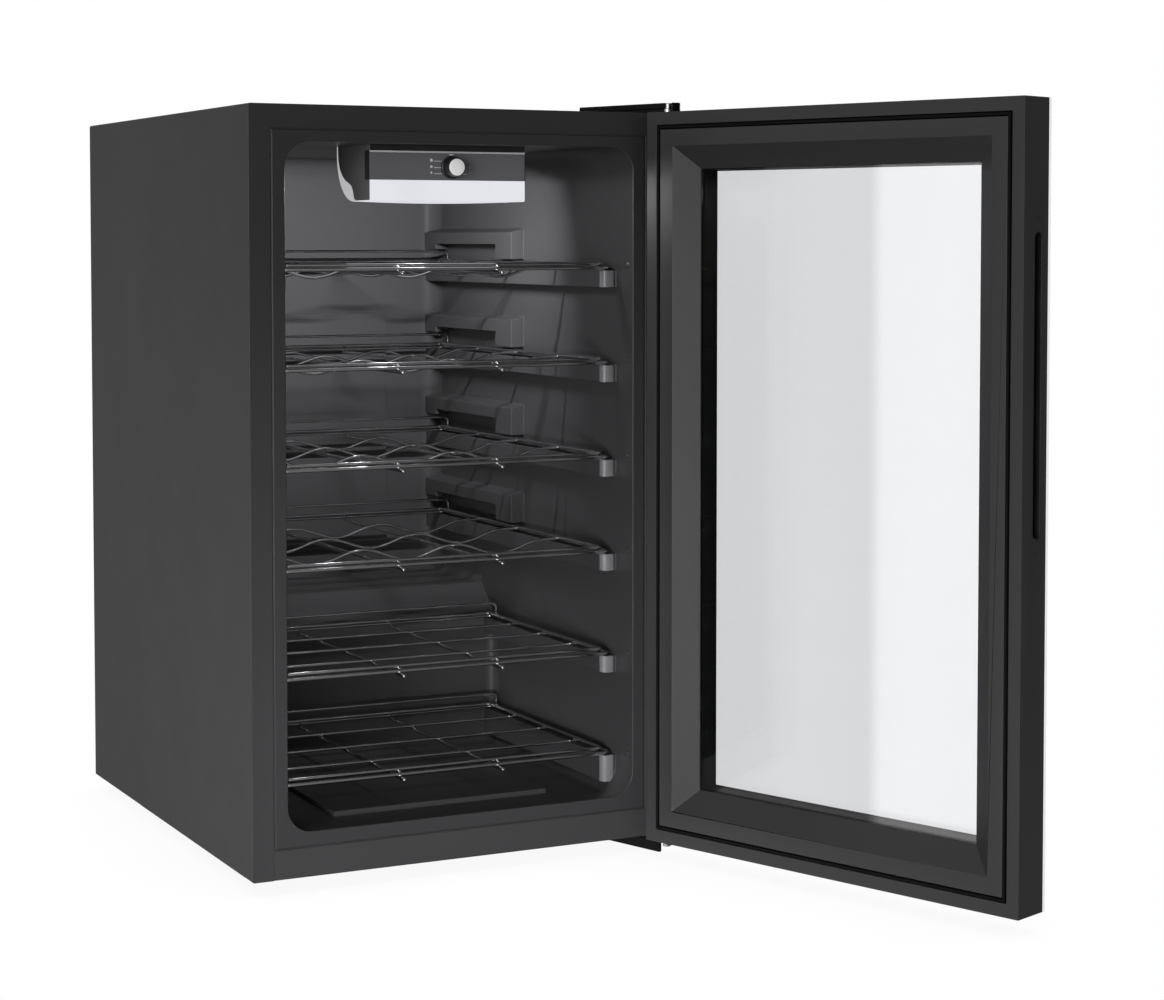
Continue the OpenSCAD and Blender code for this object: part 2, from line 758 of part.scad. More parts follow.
// A closed loop of wire with round corners, flat in X and Y
module wire_loop(half, y0, y1, r, bend) {
    rod([-half + bend, y0, 0], [half - bend, y0, 0], r);
    rod([-half + bend, y1, 0], [half - bend, y1, 0], r);
    for (s = [-1, 1]) rod([s * half, y0 + bend, 0], [s * half, y1 - bend, 0], r);
    for (c = [[1, 1, 0], [-1, 1, 90], [-1, -1, 180], [1, -1, 270]])
        translate([c.x * (half - bend), c.y > 0 ? y1 - bend : y0 + bend, 0])
            rotate_extrude(angle = 90, start = c.z, $fn = 48)
                translate([bend, 0]) circle(r, $fn = 24);
}

// A cradle wire across the shelf, with a trough in the middle and its ends lifted to the frame
module cradle() {
    half = 1.5 * bottle_pitch;
    wave = [for (i = [-wave_steps:wave_steps]) let (x = i * half / wave_steps)
        [x, -wave_amp * cos(360 * x / bottle_pitch)]];
    end = [frame_x - loop_in, wave_amp];
    over = concat([[-end.x, end.y]], wave, [end]);
    under = [for (i = [len(over) - 1:-1:0]) over[i] - [0, 2 * thin_r]];
    along_y(-thin_r, thin_r) polygon(concat(over, under));
}

module shelf_frame(n) {
    y0 = shelf_front + wire_r;
    y1 = shelf_back(n);
    stop_y = y1 - corner_r;
    wire_loop(frame_x, y0, y1, wire_r, corner_r);
    translate([0, 0, loop_up])
        wire_loop(frame_x - loop_in, y0 + loop_in, y1 - loop_in, wire_r, corner_r - 3);
    for (s = [-1, 1]) {
        rod([s * support_x, y0 - nose_out, -2 * wire_r + weld],
            [s * support_x, y1 + 3, -2 * wire_r + weld], wire_r);
        // short ties between the two loops
        rod([s * support_x, y0, 0], [s * support_x, y0 + loop_in, loop_up], thin_r);
        rod([s * support_x, y1, 0], [s * support_x, y1 - loop_in, loop_up], thin_r);
    }
    // raised stop along the back
    pipe([[-frame_x, stop_y, 0], [-frame_x, stop_y, stop_up], [frame_x, stop_y, stop_up],
        [frame_x, stop_y, 0]], thin_r);
}

module cradle_shelf(n) {
    color([0.8, 0.8, 0.8]) translate([0, 0, shelf_z(n)]) {
        shelf_frame(n);
        for (i = [0:2]) translate([0, front_y + 140 + i * 100, -2]) cradle();
    }
}

module flat_shelf(n) {
    color([0.8, 0.8, 0.8]) translate([0, 0, shelf_z(n)]) {
        shelf_frame(n);
        for (i = [1:3]) translate([0, shelf_front + i * 73, 0])
            rod([-frame_x, 0, -thin_r + 1], [frame_x, 0, -thin_r + 1], thin_r);
    }
}

module shelf_1() { cradle_shelf(1); }
module shelf_2() { cradle_shelf(2); }
module shelf_3() { cradle_shelf(3); }
module shelf_4() { cradle_shelf(4); }
module shelf_5() { flat_shelf(5); }
module shelf_6() { flat_shelf(6); }

// Turns what is drawn for the closed door to its open place
module door_pose() {
    translate([hinge_x, hinge_y, 0]) rotate([0, 0, door_angle]) translate([-hinge_x, -hinge_y, 0])
        children();
}

// A slab of the closed door, inset from its edges, from depth a to depth b behind its inner face
module door_slab(inset, a, b) {
    block([-side_x + inset, door_in_y - b, door_z0 + inset],
        [side_x - inset, door_in_y - a, door_z1 - inset]);
}

module door_ring(outer, inner, a, b) {
    difference() {
        door_slab(outer, a, b);
        door_slab(inner, a - 1, b + 1);
    }
}

module grip_outline(grow = 0) {
    w = grip_w + 2 * grow;
    square([w, grip_l - grip_w], center = true);
    for (s = [-1, 1]) translate([0, s * (grip_l - grip_w) / 2]) circle(w / 2, $fn = 48);
}

// An outline in Y and Z on the free edge of the closed door, sunk into it
module grip_sink(y, z, from, deep) {
    translate([-side_x + from, y, z]) rotate([90, 0, 90]) linear_extrude(deep) children();
}

frame_back = door_t - outer_t;
module door_frame() {
    color([0.06, 0.06, 0.065]) door_pose() difference() {
        union() {
            door_ring(0, rim_w, 0, frame_back);
            door_ring(rim_w - 1, rim_w + groove_w, 10, frame_back);
            door_ring(rim_w + groove_w - 1, pane_hold, 22, frame_back);
        }
        // hollow behind the frame, closed by the outer glass
        door_ring(20, pane_hold - 3, 25, frame_back + 2);
        grip_sink(grip_y, grip_z, -1, grip_deep + 1) grip_outline(cup_t);
        for (s = [-1, 1]) grip_sink(grip_y, grip_z + s * (grip_l / 2 + 12), -1, 9)
            circle(2.05, $fn = 32);
        for (z = [door_z0, door_z1]) translate([hinge_x, hinge_y, z])
            cylinder(h = 64, r = bush_r, center = true, $fn = 48);
    }
}

module outer_glass() {
    color([0.02, 0.02, 0.025, 0.6]) door_pose() door_slab(0, frame_back, door_t);
}

module inner_glass() {
    color([0.7, 0.75, 0.78, 0.4]) door_pose() door_slab(pane_hold, bevel_deep, bevel_deep + pane_t);
}

module glass_spacer() {
    color([0.08, 0.08, 0.08]) door_pose()
        door_ring(pane_hold + 1, glass_border, bevel_deep + pane_t, frame_back);
}

// Section of one bar of the inner frame: flat, then a bevel down to the glass
module bevel_section() {
    edge = rim_w + groove_w;
    polygon([[edge, 0], [bevel_from, 0], [bevel_to, bevel_deep - 0.6], [bevel_to, bevel_deep],
        [pane_hold, bevel_deep], [pane_hold, 22], [edge, 22]]);
}

module door_inner_frame() {
    tall = door_z1 - door_z0;
    color([0.1, 0.1, 0.105]) door_pose() intersection() {
        door_slab(rim_w + groove_w, 0, 22);
        union() {
            for (s = [0, 1]) mirror([s, 0, 0]) translate([-side_x, door_in_y, door_z0])
                mirror([0, 1, 0]) linear_extrude(tall) bevel_section();
            translate([-side_x, door_in_y, door_z0]) rotate([90, 0, 90])
                linear_extrude(cab_w) mirror([1, 0]) rotate(0) flip_section() bevel_section();
            translate([-side_x, door_in_y, door_z1]) mirror([0, 0, 1]) rotate([90, 0, 90])
                linear_extrude(cab_w) mirror([1, 0]) flip_section() bevel_section();
        }
    }
}

// Swaps the two axes of an outline
module flip_section() {
    mirror([1, -1]) children();
}

module door_gasket() {
    color([0.02, 0.02, 0.02]) door_pose()
        door_ring(rim_w, rim_w + groove_w, 2.2 - 4, 10);
}

module grip_recess() {
    color([0.03, 0.03, 0.035]) door_pose() difference() {
        grip_sink(grip_y, grip_z, 0, grip_deep) grip_outline(cup_t);
        grip_sink(grip_y, grip_z, -1, grip_deep + 1 - cup_t) grip_outline();
    }
}

module grip_plugs() {
    color([0.05, 0.05, 0.05]) door_pose() for (s = [-1, 1])
        grip_sink(grip_y, grip_z + s * (grip_l / 2 + 12), 0, 8) circle(2, $fn = 32);
}

module hinge_bushes() {
    color([0.85, 0.85, 0.83]) door_pose() for (z = [door_z0, door_z1 - 32])
        translate([hinge_x, hinge_y, z]) difference() {
            cylinder(h = 32, r = bush_r, $fn = 48);
            translate([0, 0, -1]) cylinder(h = 34, r = pin_r + pin_play, $fn = 48);
        }
}

module door_stop() {
    color([0.05, 0.05, 0.05]) door_pose()
        translate([hinge_x - 34, hinge_y, door_z0 - 5]) cylinder(h = 5, r = 4.5, $fn = 48);
}

cabinet_wrapper();
front_rail();
rear_panel();
base_pan();
foam_insulation();
inner_liner();
bay_partition();
evaporator_plate();
thermostat_bulb();
control_housing();
control_fascia();
light_diffuser();
led_board();
thermostat_body();
compressor_tray();
compressor();
compressor_grommets();
terminal_box();
condenser();
condenser_brackets();
filter_drier();
refrigerant_tubes();
drip_tray();
drain_tube();
power_inlet();
top_hinge_bracket();
top_hinge_cover();
top_hinge_pin();
bottom_hinge_bracket();
bottom_hinge_pin();
hinge_screws();
panel_screws();
rear_feet();
left_levelling_foot();
right_levelling_foot();
foot_nuts();
temperature_knob();
shelf_1();
shelf_2();
shelf_3();
shelf_4();
shelf_5();
shelf_6();
door_frame();
outer_glass();
inner_glass();
glass_spacer();
door_inner_frame();
door_gasket();
grip_recess();
grip_plugs();
hinge_bushes();
door_stop();
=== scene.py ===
"""Looks of a free-standing wine cooler with its glass door open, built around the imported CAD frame.

Units are metres, in the frame of the CAD: +Z up, the door side faces -Y, the hinge is at +X.
"""

import json
import math

import bmesh
import bpy
from mathutils import Matrix, Vector

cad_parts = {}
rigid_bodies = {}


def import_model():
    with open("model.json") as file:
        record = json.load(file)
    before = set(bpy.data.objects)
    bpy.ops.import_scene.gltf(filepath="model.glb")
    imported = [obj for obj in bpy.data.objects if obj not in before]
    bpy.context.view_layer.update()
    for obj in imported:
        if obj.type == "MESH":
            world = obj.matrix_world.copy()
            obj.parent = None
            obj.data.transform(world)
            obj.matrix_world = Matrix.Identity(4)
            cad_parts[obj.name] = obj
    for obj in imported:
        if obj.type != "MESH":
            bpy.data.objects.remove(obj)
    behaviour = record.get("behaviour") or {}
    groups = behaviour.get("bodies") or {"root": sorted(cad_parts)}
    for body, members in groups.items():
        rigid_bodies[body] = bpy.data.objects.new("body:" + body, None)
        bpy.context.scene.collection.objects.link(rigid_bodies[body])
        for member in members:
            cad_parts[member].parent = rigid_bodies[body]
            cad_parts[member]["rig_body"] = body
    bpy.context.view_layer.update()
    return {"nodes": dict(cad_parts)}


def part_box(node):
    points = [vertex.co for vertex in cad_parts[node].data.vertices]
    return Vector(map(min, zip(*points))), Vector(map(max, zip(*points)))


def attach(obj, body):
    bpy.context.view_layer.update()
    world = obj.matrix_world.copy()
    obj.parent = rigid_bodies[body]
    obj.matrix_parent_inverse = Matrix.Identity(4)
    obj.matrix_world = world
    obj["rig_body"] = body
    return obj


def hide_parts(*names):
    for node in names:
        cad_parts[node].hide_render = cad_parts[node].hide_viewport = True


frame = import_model()
nodes = frame["nodes"]

MM = 0.001
WHITE = (1.0, 1.0, 1.0)

# ---------------------------------------------------------------- places read from the frame

skin_low, skin_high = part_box("cabinet_wrapper")
fascia_low, fascia_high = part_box("control_fascia")
diffuser_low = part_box("light_diffuser")[0]
knob_low, knob_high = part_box("temperature_knob")
pin_low, pin_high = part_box("top_hinge_pin")

HALF_W = skin_high.x
FRONT_Y = skin_low.y
BACK_Y = skin_high.y
BASE_Z = skin_low.z
TOP_Z = skin_high.z
ROOM_X = HALF_W - 35 * MM
ROOM_BACK = BACK_Y - 40 * MM
ROOM_Z0 = BASE_Z + 42.5 * MM
ROOM_Z1 = TOP_Z - 34 * MM
HUMP_Y = ROOM_BACK - 160 * MM
HUMP_Z = ROOM_Z0 + 168 * MM
HUMP_SLOPE = 35 * MM
KNOB = Vector(((knob_low.x + knob_high.x) / 2, fascia_low.y, (knob_low.z + knob_high.z) / 2))
HINGE = Vector(((pin_low.x + pin_high.x) / 2, (pin_low.y + pin_high.y) / 2, 0))

# The door is drawn closed here and turned to its rest place, as in the CAD
DOOR_ANGLE = math.radians(110.35)
DOOR_IN_Y = FRONT_Y - 2.5 * MM
DOOR_T = 42.4 * MM
DOOR_Z0 = BASE_Z + 2.5 * MM
DOOR_Z1 = TOP_Z - 1 * MM
DOOR_TURN = (
    Matrix.Translation(HINGE)
    @ Matrix.Rotation(DOOR_ANGLE, 4, "Z")
    @ Matrix.Translation(-HINGE)
)


# ---------------------------------------------------------------- materials


def new_material(name):
    """(material, node tree, shader) of a new node material, the shader left at its defaults."""
    material = bpy.data.materials.new(name)
    material.use_nodes = True
    tree = material.node_tree
    return material, tree, tree.nodes["Principled BSDF"]


def add(tree, kind, **values):
    """A node of that kind with properties and input values set."""
    node = tree.nodes.new(kind)
    for key, value in values.items():
        if hasattr(node, key):
            setattr(node, key, value)
        else:
            node.inputs[key.replace("_", " ")].default_value = value
    return node


def place(tree, stretch=(1, 1, 1)):
    """Object coordinates in metres, stretched by a factor on each axis."""
    coords = add(tree, "ShaderNodeTexCoord")
    mapping = add(tree, "ShaderNodeMapping")
    mapping.inputs["Scale"].default_value = stretch
    tree.links.new(coords.outputs["Object"], mapping.inputs["Vector"])
    return mapping.outputs["Vector"]


def noise_of(tree, vector, size, detail=3.0, rough=0.55):
    """Noise with features about that many metres across."""
    node = add(tree, "ShaderNodeTexNoise")
    node.inputs["Scale"].default_value = 1 / size
    node.inputs["Detail"].default_value = detail
    node.inputs["Roughness"].default_value = rough
    tree.links.new(vector, node.inputs["Vector"])
    return node.outputs["Fac"]


def remap(tree, value, low, high, from_low=0.3, from_high=0.7):
    node = add(tree, "ShaderNodeMapRange")
    node.inputs["From Min"].default_value = from_low
    node.inputs["From Max"].default_value = from_high
    node.inputs["To Min"].default_value = low
    node.inputs["To Max"].default_value = high
    tree.links.new(value, node.inputs["Value"])
    return node.outputs["Result"]


def tint(tree, value, dark, light):
    """Colour from dark to light as value goes from 0 to 1."""
    node = add(tree, "ShaderNodeMix", data_type="RGBA")
    node.inputs["A"].default_value = (*dark, 1)
    node.inputs["B"].default_value = (*light, 1)
    tree.links.new(value, node.inputs["Factor"])
    return node.outputs["Result"]


def bump(tree, height, depth, strength=1.0, below=None):
    node = add(tree, "ShaderNodeBump")
    node.inputs["Strength"].default_value = strength
    node.inputs["Distance"].default_value = depth
    tree.links.new(height, node.inputs["Height"])
    if below is not None:
        tree.links.new(below, node.inputs["Normal"])
    return node.outputs["Normal"]


def finish_of(
    name,
    colour,
    rough,
    metal=0.0,
    spread=0.12,
    rough_spread=0.08,
    grain=0.0006,
    grain_depth=0.00001,
    wave=0.09,
    wave_depth=0.0,
    stretch=(1, 1, 1),
    specular=0.5,
    coat=0.0,
    wear=0.0,
):
    """A hard surface: slow colour and gloss changes, fine grain, waves and lighter worn edges."""
    material, tree, shader = new_material(name)
    where = place(tree, stretch)
    slow = noise_of(tree, where, wave, 4.0)
    fine = noise_of(tree, where, grain, 2.0)
    dark = tuple(c * (1 - spread) for c in colour)
    light = tuple(min(1.0, c * (1 + spread)) for c in colour)
    shade = tint(tree, remap(tree, slow, 0.0, 1.0), dark, light)
    if wear > 0:
        # convex edges are rubbed a little lighter
        edges = add(tree, "ShaderNodeNewGeometry").outputs["Pointiness"]
        rubbed = remap(tree, edges, 0.0, wear, 0.52, 0.58)
        mix = add(tree, "ShaderNodeMix", data_type="RGBA")
        mix.inputs["B"].default_value = (*[min(1.0, c * 2.2 + 0.05) for c in colour], 1)
        tree.links.new(rubbed, mix.inputs["Factor"])
        tree.links.new(shade, mix.inputs["A"])
        shade = mix.outputs["Result"]
    tree.links.new(shade, shader.inputs["Base Color"])
    smudge = noise_of(tree, where, wave * 0.35, 5.0, 0.6)
    tree.links.new(
        remap(tree, smudge, max(0.02, rough - rough_spread), min(1, rough + rough_spread)),
        shader.inputs["Roughness"],
    )
    normal = bump(tree, fine, grain_depth)
    if wave_depth > 0:
        normal = bump(tree, slow, wave_depth, below=normal)
    tree.links.new(normal, shader.inputs["Normal"])
    shader.inputs["Metallic"].default_value = metal
    shader.inputs["Specular IOR Level"].default_value = specular
    shader.inputs["Coat Weight"].default_value = coat
    shader.inputs["Coat Roughness"].default_value = 0.12
    return material


def glass_of(name, tint_low, tint_high, mirror_shade):
    """Flat glass: what lies behind shows through it, and it mirrors more at a low angle. Upright
    streaks in its see-through tint are painted reflection bands.
    """
    material, tree, shader = new_material(name)
    tree.nodes.remove(shader)
    # painted reflection: a noise stretched upright streaks the see-through tint in soft bands
    painted_bands = noise_of(tree, place(tree, (1, 1, 0.12)), 0.11, 2.0)
    through = add(tree, "ShaderNodeBsdfTransparent")
    tree.links.new(tint(tree, remap(tree, painted_bands, 0.0, 1.0), tint_low, tint_high),
                   through.inputs["Color"])
    mirror = add(tree, "ShaderNodeBsdfGlossy")
    mirror.inputs["Color"].default_value = (*[mirror_shade] * 3, 1)
    film = noise_of(tree, place(tree), 0.03, 4.0)
    tree.links.new(remap(tree, film, 0.0, 0.004), mirror.inputs["Roughness"])
    # the share mirrored rises from 4 % straight on to all of it at a grazing look
    facing = add(tree, "ShaderNodeLayerWeight", Blend=0.5)
    steep = add(tree, "ShaderNodeMath", operation="POWER")
    steep.inputs[1].default_value = 5
    tree.links.new(facing.outputs["Facing"], steep.inputs[0])
    mix = add(tree, "ShaderNodeMixShader")
    tree.links.new(remap(tree, steep.outputs["Value"], 0.043, 1.0, 0.0, 1.0), mix.inputs["Fac"])
    tree.links.new(through.outputs["BSDF"], mix.inputs[1])
    tree.links.new(mirror.outputs["BSDF"], mix.inputs[2])
    tree.links.new(mix.outputs["Shader"], tree.nodes["Material Output"].inputs["Surface"])
    return material


def glow_of(name, colour, power):
    """Translucent plastic lit from inside, a little dimmer in patches."""
    material, tree, shader = new_material(name)
    patches = noise_of(tree, place(tree), 0.05, 2.0)
    shader.inputs["Base Color"].default_value = (*[c * 0.15 for c in colour], 1)
    shader.inputs["Roughness"].default_value = 0.35
    tree.links.new(
        tint(tree, remap(tree, patches, 0.0, 1.0), tuple(c * 0.94 for c in colour), colour),
        shader.inputs["Emission Color"],
    )
    shader.inputs["Emission Strength"].default_value = power
    fine = noise_of(tree, place(tree), 0.0008, 2.0)
    tree.links.new(bump(tree, fine, 0.000006), shader.inputs["Normal"])
    return material


steel_black = finish_of("powder_coat", (0.021, 0.021, 0.0222), 0.4, spread=0.02, rough_spread=0.03,
                        grain=0.0011, grain_depth=0.00002, wave=0.4, wave_depth=0.0002, wear=0.12)
steel_bare = finish_of("galvanised", (0.5, 0.51, 0.52), 0.38, metal=1.0, spread=0.16, grain=0.004,
                       grain_depth=0.00001, wave=0.02)
liner_black = finish_of("liner_plastic", (0.0245, 0.0245, 0.0258), 0.35, spread=0.03,
                        rough_spread=0.03, grain=0.0009, grain_depth=0.000008, wave=0.2,
                        wave_depth=0.0002)
foam_yellow = finish_of("foam", (0.62, 0.5, 0.24), 0.9, spread=0.2, grain=0.0012,
                        grain_depth=0.0004, wave=0.03)
plastic_black = finish_of("black_plastic", (0.009, 0.009, 0.0095), 0.42, grain=0.0005,
                          grain_depth=0.00002, wave=0.06, wear=0.12)
door_black = finish_of("door_plastic", (0.019, 0.019, 0.02), 0.42, spread=0.03,
                       rough_spread=0.03, grain=0.0007, grain_depth=0.00001, wave=0.3,
                       wave_depth=0.00015, wear=0.12, specular=0.34)
fascia_grey = finish_of("fascia_plastic", (0.122, 0.123, 0.133), 0.33, spread=0.03,
                        rough_spread=0.04, grain=0.0005, grain_depth=0.00001, wave=0.08)
end_grey = finish_of("control_box_end", (0.12, 0.12, 0.124), 0.36, spread=0.08, grain=0.0006,
                     grain_depth=0.00001, wave=0.04)
# the rail end caps are lighter grey than the liner: a painted highlight for the light their fronts
# catch
cap_highlight_grey = finish_of("rail_cap_painted_highlight", (0.11, 0.11, 0.115), 0.34, spread=0.05,
                     rough_spread=0.03, grain=0.0007, grain_depth=0.000008, wave=0.05)
silver = finish_of("silver_trim", (0.55, 0.55, 0.56), 0.35, rough_spread=0.03, grain=0.0004,
                   wave=0.02, grain_depth=0.000005)
print_light = finish_of("scale_print", (0.62, 0.62, 0.63), 0.5, spread=0.08, grain=0.0003,
                        wave=0.002)
print_faint = finish_of("scale_print_faint", (0.24, 0.24, 0.245), 0.5, spread=0.08, grain=0.0003,
                        wave=0.002)
board_white = finish_of("circuit_board", (0.62, 0.64, 0.6), 0.4, wave=0.01)
control_ivory = finish_of("control_plastic", (0.55, 0.53, 0.46), 0.5, wave=0.01)
enamel_black = finish_of("compressor_enamel", (0.012, 0.012, 0.013), 0.24, grain=0.0016,
                         grain_depth=0.00006, wave=0.05, coat=0.4, wear=0.3)
rubber_black = finish_of("rubber", (0.003, 0.003, 0.003), 0.7, grain=0.0006, grain_depth=0.00003,
                         wave=0.03, specular=0.08)
copper = finish_of("copper", (0.72, 0.36, 0.2), 0.26, metal=1.0, spread=0.25, grain=0.0008,
                   wave=0.03)
wire_black = finish_of("condenser_enamel", (0.014, 0.014, 0.015), 0.35, grain=0.0008,
                       grain_depth=0.00003, wave=0.05)
tube_grey = finish_of("drain_tube", (0.3, 0.3, 0.3), 0.5, wave=0.02)
hinge_black = finish_of("hinge_steel", (0.003, 0.003, 0.0032), 0.4, grain=0.0008,
                        grain_depth=0.00002, wave=0.04, specular=0.12)
pin_steel = finish_of("polished_steel", (0.62, 0.62, 0.63), 0.3, metal=1.0, spread=0.04, wave=0.01)
screw_dark = finish_of("screw_steel", (0.2, 0.2, 0.21), 0.35, metal=1.0, wave=0.004)
chrome = finish_of("chrome_wire", (0.66, 0.66, 0.67), 0.1, metal=1.0, spread=0.06,
                   rough_spread=0.04, grain=0.0009, grain_depth=0.000002, wave=0.015)
clear_outer = glass_of("outer_glass", (0.926, 0.928, 0.934), (0.936, 0.938, 0.943), 0.95)
clear_inner = glass_of("inner_glass", (0.926, 0.928, 0.934), (0.936, 0.938, 0.943), 0.95)
glass_print = finish_of("ceramic_print", (0.004, 0.004, 0.0045), 0.6, grain=0.0004, wave=0.1,
                        specular=0.15)
spacer_black = finish_of("spacer", (0.003, 0.0032, 0.003), 0.6, wave=0.03, specular=0.1)
acetal = finish_of("acetal", (0.7, 0.7, 0.68), 0.4, wave=0.01)
diffuser_glow = glow_of("diffuser_glow", (0.735, 0.74, 0.785), 0.98)
fin_glow = glow_of("diffuser_edge", (0.72, 0.72, 0.74), 0.62)
metal_face = finish_of("knob_face", (0.97, 0.97, 0.98), 0.45, spread=0.03, grain=0.0005,
                       grain_depth=0.00002, wave=0.003)

NODE_FINISH = {
    "cabinet_wrapper": steel_black, "front_rail": steel_black, "rear_panel": steel_black,
    "base_pan": steel_bare, "foam_insulation": foam_yellow, "inner_liner": liner_black,
    "bay_partition": steel_bare, "evaporator_plate": liner_black, "thermostat_bulb": copper,
    "control_housing": plastic_black, "control_fascia": fascia_grey,
    "light_diffuser": diffuser_glow, "led_board": board_white, "thermostat_body": control_ivory,
    "compressor_tray": steel_bare, "compressor": enamel_black,
    "compressor_grommets": rubber_black, "terminal_box": plastic_black, "condenser": wire_black,
    "condenser_brackets": wire_black, "filter_drier": copper, "refrigerant_tubes": copper,
    "drip_tray": plastic_black, "drain_tube": tube_grey, "power_inlet": plastic_black,
    "top_hinge_bracket": hinge_black, "top_hinge_cover": hinge_black,
    "top_hinge_pin": pin_steel, "bottom_hinge_bracket": hinge_black,
    "bottom_hinge_pin": pin_steel, "hinge_screws": screw_dark, "panel_screws": screw_dark,
    "rear_feet": plastic_black, "left_levelling_foot": plastic_black,
    "right_levelling_foot": plastic_black, "foot_nuts": steel_bare,
    "temperature_knob": plastic_black, "door_frame": door_black, "outer_glass": clear_outer,
    "inner_glass": clear_inner, "glass_spacer": spacer_black, "door_inner_frame": door_black,
    "door_gasket": rubber_black, "grip_recess": plastic_black, "grip_plugs": plastic_black,
    "hinge_bushes": acetal, "door_stop": plastic_black,
}
for shelf in range(1, 7):
    NODE_FINISH[f"shelf_{shelf}"] = chrome
for name, material in NODE_FINISH.items():
    nodes[name].data.materials.clear()
    nodes[name].data.materials.append(material)

BODY_OF = {name: obj["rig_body"] for name, obj in nodes.items()}


# ---------------------------------------------------------------- mesh helpers


class Shape:
    """Points and faces gathered for one piece."""

    def __init__(self):
        self.points, self.faces = [], []

    def add(self, points, faces):
        start = len(self.points)
        self.points += [Vector(p) for p in points]
        self.faces += [[start + i for i in face] for face in faces]
        return self

    def piece(self, name, body, material, slot, turn=None, smooth=35):
        mesh = bpy.data.meshes.new(name)
        mesh.from_pydata([tuple(p) for p in self.points], [], self.faces)
        mesh.validate()
        obj = bpy.data.objects.new(name, mesh)
        bpy.context.scene.collection.objects.link(obj)
        if turn is not None:
            mesh.transform(turn)
        tidy = bmesh.new()
        tidy.from_mesh(mesh)
        bmesh.ops.recalc_face_normals(tidy, faces=tidy.faces)
        tidy.to_mesh(mesh)
        tidy.free()
        mesh.materials.append(material)
        soften(mesh, smooth)
        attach(obj, body)
        return obj


def soften(mesh, degrees):
    """Smooth shading, with edges sharper than that many degrees kept hard."""
    mesh.shade_smooth()
    mesh.set_sharp_from_angle(angle=math.radians(degrees))


def bevel(obj, width, segments=2, degrees=30):
    modifier = obj.modifiers.new("edges", "BEVEL")
    modifier.width = width
    modifier.segments = segments
    modifier.limit_method = "ANGLE"
    modifier.angle_limit = math.radians(degrees)
    modifier.use_clamp_overlap = False
    modifier.miter_outer = "MITER_ARC"
    # the large faces stay flat and only the rounded edges turn the light
    flat = obj.modifiers.new("flat_faces", "WEIGHTED_NORMAL")
    flat.mode = "FACE_AREA"
    flat.weight = 100
    flat.keep_sharp = False
    return modifier


def refine(node, width, segments=2, name=None, material=None):
    """Stands in for a CAD node with the same shape and rounded edges."""
    source = nodes[node]
    mesh = source.data.copy()
    obj = bpy.data.objects.new(name or f"{node}_fine", mesh)
    bpy.context.scene.collection.objects.link(obj)
    clean = bmesh.new()
    clean.from_mesh(mesh)
    bmesh.ops.remove_doubles(clean, verts=clean.verts, dist=2e-6)
    bmesh.ops.dissolve_limit(
        clean, angle_limit=math.radians(0.6), verts=clean.verts, edges=clean.edges
    )
    bmesh.ops.recalc_face_normals(clean, faces=clean.faces)
    clean.to_mesh(mesh)
    clean.free()
    mesh.materials.clear()
    mesh.materials.append(material or NODE_FINISH[node])
    soften(mesh, 30)
    bevel(obj, width, segments)
    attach(obj, BODY_OF[node])
    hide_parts(node)
    return obj


def arc_path(points, radius, steps=6):
    """The points of a bent rod: straight legs with a round bend at each inner corner."""
    path = [Vector(points[0])]
    for before, corner, after in zip(points, points[1:], points[2:]):
        corner = Vector(corner)
        back = (Vector(before) - corner).normalized()
        ahead = (Vector(after) - corner).normalized()
        for i in range(steps + 1):
            t = i / steps
            # a quadratic curve from one leg to the other, tangent to both
            path.append(
                (1 - t) ** 2 * (corner + back * radius)
                + 2 * t * (1 - t) * corner
                + t * t * (corner + ahead * radius)
            )
    path.append(Vector(points[-1]))
    return path


def tube(path, radius, sides=14, closed=False):
    """Points and faces of a round wire along a path, with domed ends if it is open."""
    path = [Vector(p) for p in path]
    count = len(path)
    points, faces = [], []

    def direction(i):
        if closed:
            return (path[(i + 1) % count] - path[i - 1]).normalized()
        return (path[min(i + 1, count - 1)] - path[max(i - 1, 0)]).normalized()

    along = direction(0)
    side = along.orthogonal().normalized()
    rings = []
    if not closed:
        for lift in (0.25, 0.6, 0.9):
            rings.append((path[0] - along * radius * (1 - lift) * 0.9, along, side,
                          radius * math.sqrt(1 - (1 - lift) ** 2)))
    for i in range(count):
        turned = direction(i)
        side = (side - turned * side.dot(turned)).normalized()
        along = turned
        rings.append((path[i], along, side, radius))
    if not closed:
        for lift in (0.9, 0.6, 0.25):
            rings.append((path[-1] + along * radius * (1 - lift) * 0.9, along, side,
                          radius * math.sqrt(1 - (1 - lift) ** 2)))
    for centre, along, side, r in rings:
        up = along.cross(side)
        for k in range(sides):
            angle = 2 * math.pi * k / sides
            points.append(centre + r * (side * math.cos(angle) + up * math.sin(angle)))
    laps = len(rings) if closed else len(rings) - 1
    for i in range(laps):
        a, b = i * sides, (i + 1) % len(rings) * sides
        for k in range(sides):
            n = (k + 1) % sides
            faces.append([a + k, a + n, b + n, b + k])
    if not closed:
        faces.append(list(range(sides))[::-1])
        faces.append([(len(rings) - 1) * sides + k for k in range(sides)])
    return points, faces


def loop_path(half, y0, y1, z, bend, steps=7):
    """A closed flat wire rectangle with round corners."""
    path = []
    for cx, cy, start in ((half, y1, 0), (-half, y1, 90), (-half, y0, 180), (half, y0, 270)):
        centre = Vector((cx - math.copysign(bend, cx), cy - (bend if cy == y1 else -bend), z))
        for i in range(steps + 1):
            angle = math.radians(start + 90 * i / steps)
            path.append(centre + Vector((math.cos(angle), math.sin(angle), 0)) * bend)
    return path


def slab(low, high):
    """Points and faces of a block."""
    points = [(x, y, z) for x in (low[0], high[0]) for y in (low[1], high[1])
              for z in (low[2], high[2])]
    faces = [[0, 1, 3, 2], [4, 6, 7, 5], [0, 4, 5, 1], [2, 3, 7, 6], [0, 2, 6, 4], [1, 5, 7, 3]]
    return points, faces


